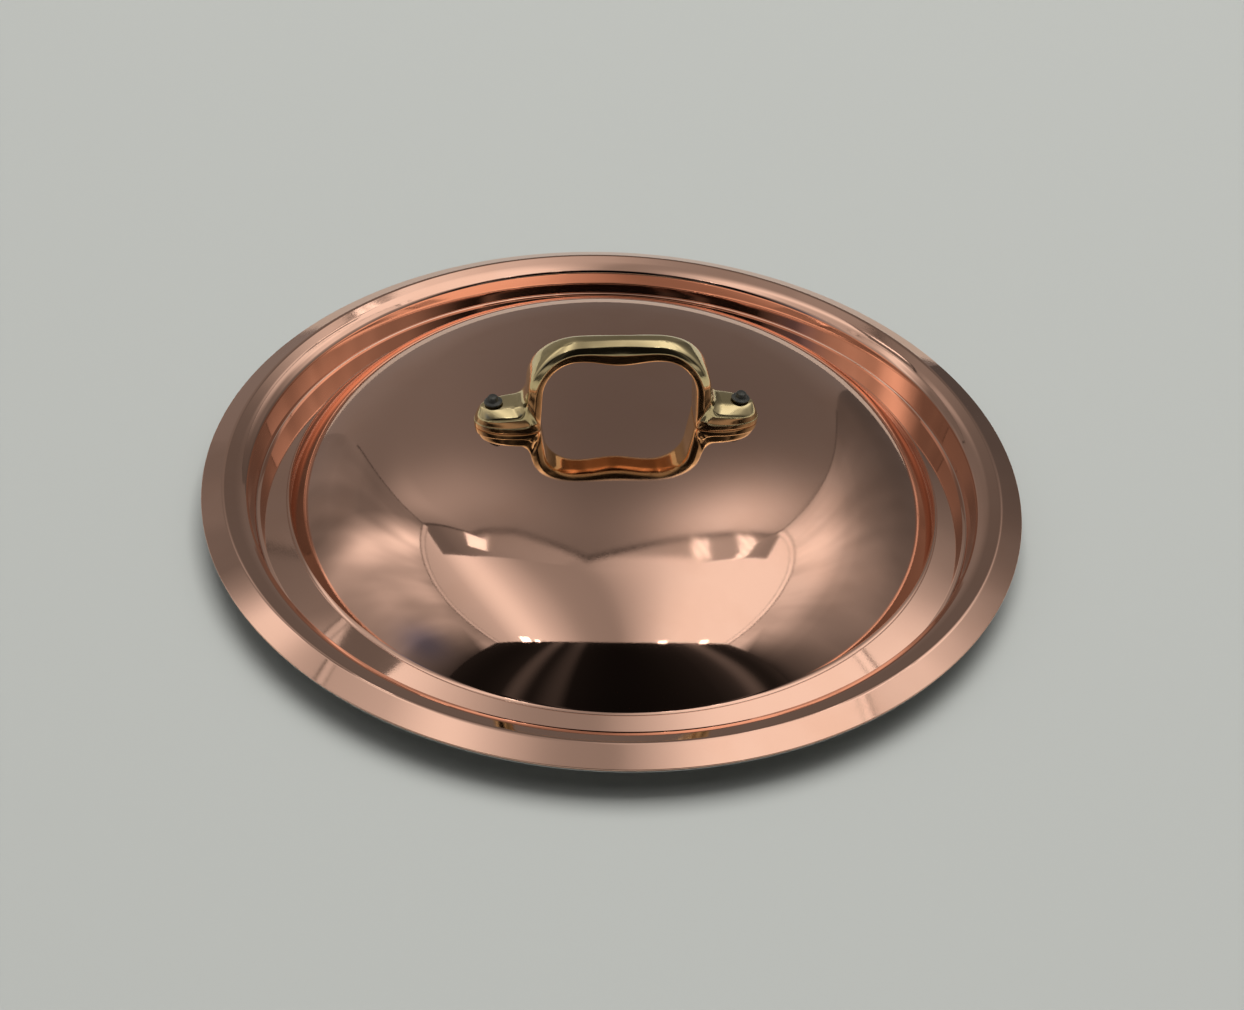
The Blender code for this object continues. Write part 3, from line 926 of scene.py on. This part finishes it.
def glowing(name, level, tint=None):
    """Material that glows for reflections, and looks pale and plain to the camera.

    Level and tint are functions that take the tree and the place's sockets. Level gives a socket
    or number, and tint gives a colour socket.
    """
    material = bpy.data.materials.new(name)
    material.use_nodes = True
    tree = material.node_tree
    tree.nodes.remove(tree.nodes["Principled BSDF"])
    place = new_node(tree, "ShaderNodeSeparateXYZ", vector=object_coordinates(tree)).outputs
    seen = new_node(tree, "ShaderNodeLightPath").outputs["Is Camera Ray"]
    unseen = maths(tree, "SUBTRACT", 1.0, seen)
    mixed = maths(tree, "ADD", maths(tree, "MULTIPLY", seen, PALE),
                  maths(tree, "MULTIPLY", unseen, level(tree, place)))
    emission = new_node(tree, "ShaderNodeEmission", strength=mixed)
    if tint:
        feed(tree, emission.inputs["Color"], tint(tree, place))
    feed(tree, tree.nodes["Material Output"].inputs["Surface"], emission.outputs[0])
    return material


def ramp(tree, value, stops):
    """Brightness that runs through stops, each a place from 0 to 1 and a level."""
    node = new_node(tree, "ShaderNodeValToRGB")
    node.color_ramp.interpolation = "CARDINAL"
    elements = node.color_ramp.elements
    while len(elements) < len(stops):
        elements.new(0.5)
    for element, (place, level) in zip(elements, stops):
        element.position = place
        element.color = (level, level, level, 1.0)
    tree.links.new(value, node.inputs["Fac"])
    return node.outputs["Color"]


def across_level(reach, stops):
    """Brightness that changes from left to right, over a reach on both sides of the lid."""
    return lambda tree, place: ramp(tree, remap(tree, place["X"], -reach, reach, 0.0, 1.0), stops)


def striped_level(strength):
    """Slanting bright stripes on a less bright lamp."""
    def level(tree, place):
        slant = maths(tree, "ADD", place["X"], maths(tree, "MULTIPLY", place["Y"], STRIPE_SLANT))
        stripe = maths(tree, "PINGPONG", maths(tree, "DIVIDE", slant, STRIPE_PITCH), 1.0)
        return remap(tree, stripe, *STRIPE_EDGE, STRIPE_DIMMING * strength, strength)
    return level


def cloth(tree, place, up_stops, along_stops, axis, ends, slide=0.0):
    """Cloth whose brightness changes up a wall and along it, between two ends.

    Slide moves the change along by so much for each unit below the ceiling.
    """
    below = maths(tree, "SUBTRACT", 1.0, place["Z"])
    along = remap(tree, place[axis], *ends, 0.0, 1.0)
    along = maths(tree, "ADD", along, maths(tree, "MULTIPLY", below, slide))
    return maths(tree, "MULTIPLY", ramp(tree, place["Z"], up_stops), ramp(tree, along, along_stops))


def soft_patch(tree, place, axis, centre, size):
    """Soft round patch on a wall, from 1 at its middle down to 0."""
    away = 0.0
    for name, middle, reach in zip((axis, "Z"), centre, size):
        part = maths(tree, "DIVIDE", maths(tree, "SUBTRACT", place[name], middle), reach)
        away = maths(tree, "ADD", maths(tree, "MULTIPLY", part, part), away)
    return maths(tree, "EXPONENT", maths(tree, "MULTIPLY", away, -1.0))


def cool_tint(tree, place):
    """Cool colour inside the cool patch."""
    return blend_colours(tree, soft_patch(tree, place, "Y", *COOL_PATCH), (1.0, 1.0, 1.0), COOL_COLOUR)


def cooled(level):
    """A wall's brightness, lowered inside the cool patch."""
    def lowered(tree, place):
        dimming = remap(tree, soft_patch(tree, place, "Y", *COOL_PATCH), 0.0, 1.0, 1.0, COOL_DIMMING)
        return maths(tree, "MULTIPLY", level(tree, place), dimming)
    return lowered


def side_level(up_stops, along_stops, ends, slide, low_glow, folds):
    """Side cloth with upright folds, glowing a little near the floor and dark at its front end."""
    def level(tree, place):
        base = cloth(tree, place, up_stops, along_stops, "Y", ends, slide)
        glow = remap(tree, place["Z"], *GLOW_RANGE, low_glow, 0.0)
        creased = new_node(tree, "ShaderNodeMapping", vector=object_coordinates(tree),
                           scale=FOLD_STRETCH)
        fold = noise_of(tree, creased.outputs[0], FOLD_SCALE)
        fold = remap(tree, fold, *FOLD_RANGE, 1 - folds, 1 + folds)
        shade = remap(tree, place["Y"], *SHADE_RANGE, *SHADE_LEVELS)
        shade = maths(tree, "MAXIMUM", shade, remap(tree, place["Z"], *SHADE_TOP, 0.0, 1.0))
        total = maths(tree, "MULTIPLY", maths(tree, "ADD", base, glow), fold)
        return maths(tree, "MULTIPLY", total, shade)
    return level


def front_level(tree, place):
    """Dark opening with a few dim folds and lobes, and a brighter band low down."""
    base = cloth(tree, place, FRONT_UP, FRONT_ALONG, "X", (FRONT_LEFT[0], FRONT_RIGHT[0]))
    band = remap(tree, place["Z"], *BAND_FOOT, *BAND_LEVELS)
    fade = remap(tree, place["Z"], *BAND_TOP, 1.0, 0.0)
    return maths(tree, "ADD", base, maths(tree, "MULTIPLY", band, fade))


def back_level(tree, place):
    """Back cloth with soft bright patches near the ceiling."""
    total = cloth(tree, place, BACK_UP, BACK_ALONG, "X", (BACK_EDGE[0][0], BACK_EDGE[-1][0]))
    for centre, size, strength in BACK_PATCHES:
        glow = soft_patch(tree, place, "X", centre, size)
        total = maths(tree, "ADD", total, maths(tree, "MULTIPLY", glow, strength))
    return total


def plain_level(strength):
    """The same brightness all over."""
    return lambda tree, place: strength


def stage_mesh(name, verts, faces, material):
    """Add a piece of the studio."""
    mesh = bpy.data.meshes.new(name)
    mesh.from_pydata(verts, [], faces)
    mesh.materials.append(material)
    piece = add_piece(name, mesh)
    return piece


def tent_piece(name, verts, faces, level, tint=None):
    """Add a glowing piece of the tent, drawn at unit height and scaled to the tent's."""
    piece = stage_mesh(name, verts, faces, glowing(name, level, tint))
    piece.scale = (bpy.context.scene.lid.stage.tent_height,) * 3


def ribbon(name, pairs, level, tint=None):
    """Strip of the tent that runs through pairs of points."""
    verts = [point for pair in pairs for point in pair]
    faces = [(i, i + 1, i + 3, i + 2) for i in range(0, len(verts) - 2, 2)]
    tent_piece(name, verts, faces, level, tint)


def curtain(name, outline, level, tint=None):
    """Wall of the tent that hangs from an outline."""
    ribbon(name, [((*point, 1.0), (*point, 0.0)) for point in outline], level, tint)


def flat_piece(name, outline, top, level):
    """Level piece of cloth inside an outline."""
    tent_piece(name, [(*point, top) for point in outline], [tuple(range(len(outline)))], level)


def trim(name, outline, start, width, level):
    """Strip that follows an outline under the ceiling, from a distance inside it."""
    pairs = []
    for point in outline:
        inward = -point.normalized()
        pairs.append([(*(point + inward * distance), 1 - TRIM_DROP)
                      for distance in (start, start + width)])
    ribbon(name, pairs, level)


def lamp_panel(name, place, width, depth, slant, level):
    """Small bright panel just under the ceiling. Its sides run by the slant for each unit back."""
    verts = []
    for side, end in ((-1, -1), (1, -1), (1, 1), (-1, 1)):
        back = end * depth / 2
        verts.append((place[0] + side * width / 2 + back * slant, place[1] + back, 1 - LAMP_DROP))
    tent_piece(name, verts, [(0, 1, 2, 3)], level)


def build_tent():
    """Light tent round the lid: a glowing ceiling, cloth walls and a dark opening in front."""
    back = [Vector(point) for point in BACK_EDGE]
    left = bowed(FRONT_LEFT, back[0], -SIDE_BULGE)
    right = bowed(back[-1], FRONT_RIGHT, -SIDE_BULGE)
    front = bowed(FRONT_RIGHT, FRONT_LEFT, FRONT_DIP)
    outline = left + back[:-1] + right + front
    left.append(back[0])
    right.append(front[0])
    front.append(left[0])
    flat_piece("tent_ceiling", outline, 1.0, across_level(CEILING_REACH, CEILING_STOPS))
    strip = back + [Vector(point) for point in reversed(STRIP_EDGE)]
    flat_piece("tent_strip", strip, 1 - STRIP_DROP, across_level(STRIP_REACH, STRIP_STOPS))
    left_level = side_level(LEFT_UP, LEFT_ALONG, LEFT_ENDS, slide=0.40, low_glow=0.12, folds=0.22)
    right_level = side_level(RIGHT_UP, RIGHT_ALONG, RIGHT_ENDS, slide=0.46, low_glow=0.03, folds=0.15)
    curtain("tent_left", left, cooled(left_level), cool_tint)
    curtain("tent_back", back, back_level)
    curtain("tent_right", right, right_level)
    curtain("tent_front", front, front_level)
    dark = plain_level(SEAM_LEVEL)
    trim("tent_seam", outline + [outline[0]], *SEAM, dark)
    trim("tent_seam_back", back, *BACK_SEAM, dark)
    for name, points, level in (("left", left, LEFT_FRAME_LEVEL),
                                ("right", right, RIGHT_FRAME_LEVEL)):
        trim("tent_frame_" + name, points, *FRAME_TRIM, plain_level(level))
        trim("tent_hem_" + name, points, *HEM, plain_level(HEM_DIMMING * level))
    for number, (*panel, level) in enumerate(STRIP_LAMPS):
        lamp_panel(f"tent_lamp_{number}", *panel, striped_level(level))
    for number, (*panel, level) in enumerate(FRONT_LAMPS):
        lamp_panel(f"tent_glint_{number}", *panel, plain_level(level))
    for name, corner in (("left", back[0]), ("right", back[-1])):
        foot = corner * CORNER_INSET
        side = Vector((-foot.y, foot.x)).normalized() * CORNER_HALF_WIDTH
        ribbon("tent_corner_" + name, [((*(foot - side), level), (*(foot + side), level))
                                       for level in (CORNER_FOOT, 1.0)], dark)


def build_floor(finish, reach):
    """Pale floor."""
    material, tree, shader = metal("pale_floor", finish.floor, 0.5)
    feed(tree, shader.inputs["Metallic"], 0.0)
    feed(tree, shader.inputs["Specular IOR Level"], 0.2)
    verts = [(-reach, -reach, 0.0), (reach, -reach, 0.0), (reach, reach, 0.0), (-reach, reach, 0.0)]
    stage_mesh("floor", verts, [(0, 1, 2, 3)], material)


def build_lamp(sizes):
    """Soft lamp over the lid, which lights the floor and doesn't show in the metal."""
    lamp = bpy.data.lights.new("fill", "AREA")
    lamp.shape = "SQUARE"
    lamp.size = sizes.fill_size
    lamp.energy = sizes.fill_power
    holder = bpy.data.objects.new("fill", lamp)
    holder.location = (sizes.fill_side, sizes.fill_back, sizes.tent_height * LAMP_HEIGHT)
    holder.visible_glossy = False
    holder.visible_camera = False
    bpy.context.scene.collection.objects.link(holder)


def build_camera(sizes):
    """Camera where the photograph was taken from."""
    turn, rise, roll = sizes.camera_turn, sizes.camera_rise, sizes.camera_roll
    aim = Matrix.Rotation(turn, 3, "Z") @ Vector((sizes.aim_side, -sizes.aim_front, 0.0))
    aim.z = sizes.aim_height
    back = Vector((math.sin(turn) * math.cos(rise), -math.cos(turn) * math.cos(rise), math.sin(rise)))
    level = Vector((math.cos(turn), math.sin(turn), 0.0))
    up = back.cross(level)
    right = math.cos(roll) * level + math.sin(roll) * up
    above = math.cos(roll) * up - math.sin(roll) * level
    lens = bpy.data.cameras.new("camera")
    lens.lens = sizes.focal_pixels / sizes.image_width * lens.sensor_width
    lens.clip_start = 0.01
    holder = bpy.data.objects.new("camera", lens)
    turned_to = Matrix((right, above, back)).transposed().to_4x4()
    holder.matrix_world = Matrix.Translation(aim + back * sizes.camera_distance) @ turned_to
    bpy.context.scene.collection.objects.link(holder)
    bpy.context.scene.camera = holder


def build_world():
    """Plain pale world outside the tent."""
    world = bpy.data.worlds.new("pale_world")
    world.use_nodes = True
    world.node_tree.nodes["Background"].inputs["Color"].default_value = (PALE, PALE, PALE, 1.0)
    bpy.context.scene.world = world


def dress(piece, material, slot, *nodes):
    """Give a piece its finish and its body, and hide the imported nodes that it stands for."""
    piece.data.materials.append(material)
    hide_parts(*nodes)
    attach(piece, BODY)


# Operators


class LID_OT_copper(bpy.types.Operator):
    """Turn the copper outer sheet"""

    bl_idname = "lid.copper"
    bl_label = "Copper Sheet"

    def execute(self, context):
        sizes = context.scene.lid.sheet
        marks = layer_marks(sizes, 0.0, sizes.copper_thickness, SHOWN_STEPS, HIDDEN_STEPS, True)
        shell = turned("copper_sheet", marks, sizes.turn_steps)
        dress(shell, polished_copper(context.scene.lid.finish), "copper", "copper_shell")
        return {"FINISHED"}


class LID_OT_lining(bpy.types.Operator):
    """Turn the steel lining"""

    bl_idname = "lid.lining"
    bl_label = "Steel Lining"

    def execute(self, context):
        sizes = context.scene.lid.sheet
        depth = sizes.copper_thickness + sizes.joint
        marks = layer_marks(sizes, depth, sizes.thickness - depth, HIDDEN_STEPS, SHOWN_STEPS, False)
        lining = turned("lining_sheet", marks, sizes.turn_steps)
        dress(lining, ringed_steel(context.scene.lid.finish), "steel", "steel_lining")
        return {"FINISHED"}


class LID_OT_handle(bpy.types.Operator):
    """Cast the loop handle"""

    bl_idname = "lid.handle"
    bl_label = "Loop Handle"

    def execute(self, context):
        lid = context.scene.lid
        handle = add_piece("brass_handle", handle_mesh(lid.sheet, lid.handle, lid.rivet))
        finer = handle.modifiers.new("finer", "SUBSURF")
        finer.levels = 1
        finer.render_levels = 1
        dress(handle, polished_brass(lid.finish), "cast_brass", "handle")
        return {"FINISHED"}


class LID_OT_rivets(bpy.types.Operator):
    """Hammer the two rivets"""

    bl_idname = "lid.rivets"
    bl_label = "Rivets"

    def execute(self, context):
        lid = context.scene.lid
        iron = dark_iron(lid.finish)
        for name, side, seed in (("left", -1, 3.0), ("right", 1, 11.0)):
            mesh = rivet_mesh("iron_rivet_" + name, lid.sheet, lid.handle, lid.rivet, side, seed)
            rivet = add_piece("iron_rivet_" + name, mesh)
            rivet.matrix_world = rivet_place(lid.sheet, lid.handle, lid.rivet, side)
            dress(rivet, iron, "iron", "rivet_" + name)
        return {"FINISHED"}


class LID_OT_stage(bpy.types.Operator):
    """Build the floor, the light tent, the lamp and the camera"""

    bl_idname = "lid.stage"
    bl_label = "Studio"

    def execute(self, context):
        lid = context.scene.lid
        build_floor(lid.finish, FLOOR_REACH * lid.stage.tent_height)
        build_tent()
        build_lamp(lid.stage)
        build_world()
        build_camera(lid.stage)
        context.scene.view_settings.view_transform = "Standard"
        return {"FINISHED"}


OPERATORS = (LID_OT_copper, LID_OT_lining, LID_OT_handle, LID_OT_rivets, LID_OT_stage)


class LID_PT_panel(bpy.types.Panel):
    """Sizes, finishes and operators of the lid"""

    bl_label = "Domed Lid"
    bl_idname = "LID_PT_panel"
    bl_space_type = "VIEW_3D"
    bl_region_type = "UI"
    bl_category = "Lid"

    def draw(self, context):
        lid = context.scene.lid
        for title, group in (("Sheet", lid.sheet), ("Handle", lid.handle), ("Rivets", lid.rivet),
                             ("Finishes", lid.finish), ("Studio", lid.stage)):
            box = self.layout.box()
            box.label(text=title)
            for name in group.__annotations__:
                box.prop(group, name)
        for operator in OPERATORS:
            self.layout.operator(operator.bl_idname)


CLASSES = (SheetSizes, HandleSizes, RivetSizes, Finishes, StageSizes, LidSettings, *OPERATORS,
           LID_PT_panel)


def register():
    """Add the classes, and the settings on the scene."""
    for kind in CLASSES:
        bpy.utils.register_class(kind)
    bpy.types.Scene.lid = PointerProperty(type=LidSettings)


def unregister():
    """Remove the settings and the classes."""
    del bpy.types.Scene.lid
    for kind in reversed(CLASSES):
        bpy.utils.unregister_class(kind)


def main():
    """Build the lid and its studio."""
    register()
    bpy.ops.lid.copper()
    bpy.ops.lid.lining()
    bpy.ops.lid.handle()
    bpy.ops.lid.rivets()
    bpy.ops.lid.stage()


if __name__ == "__main__":
    main()
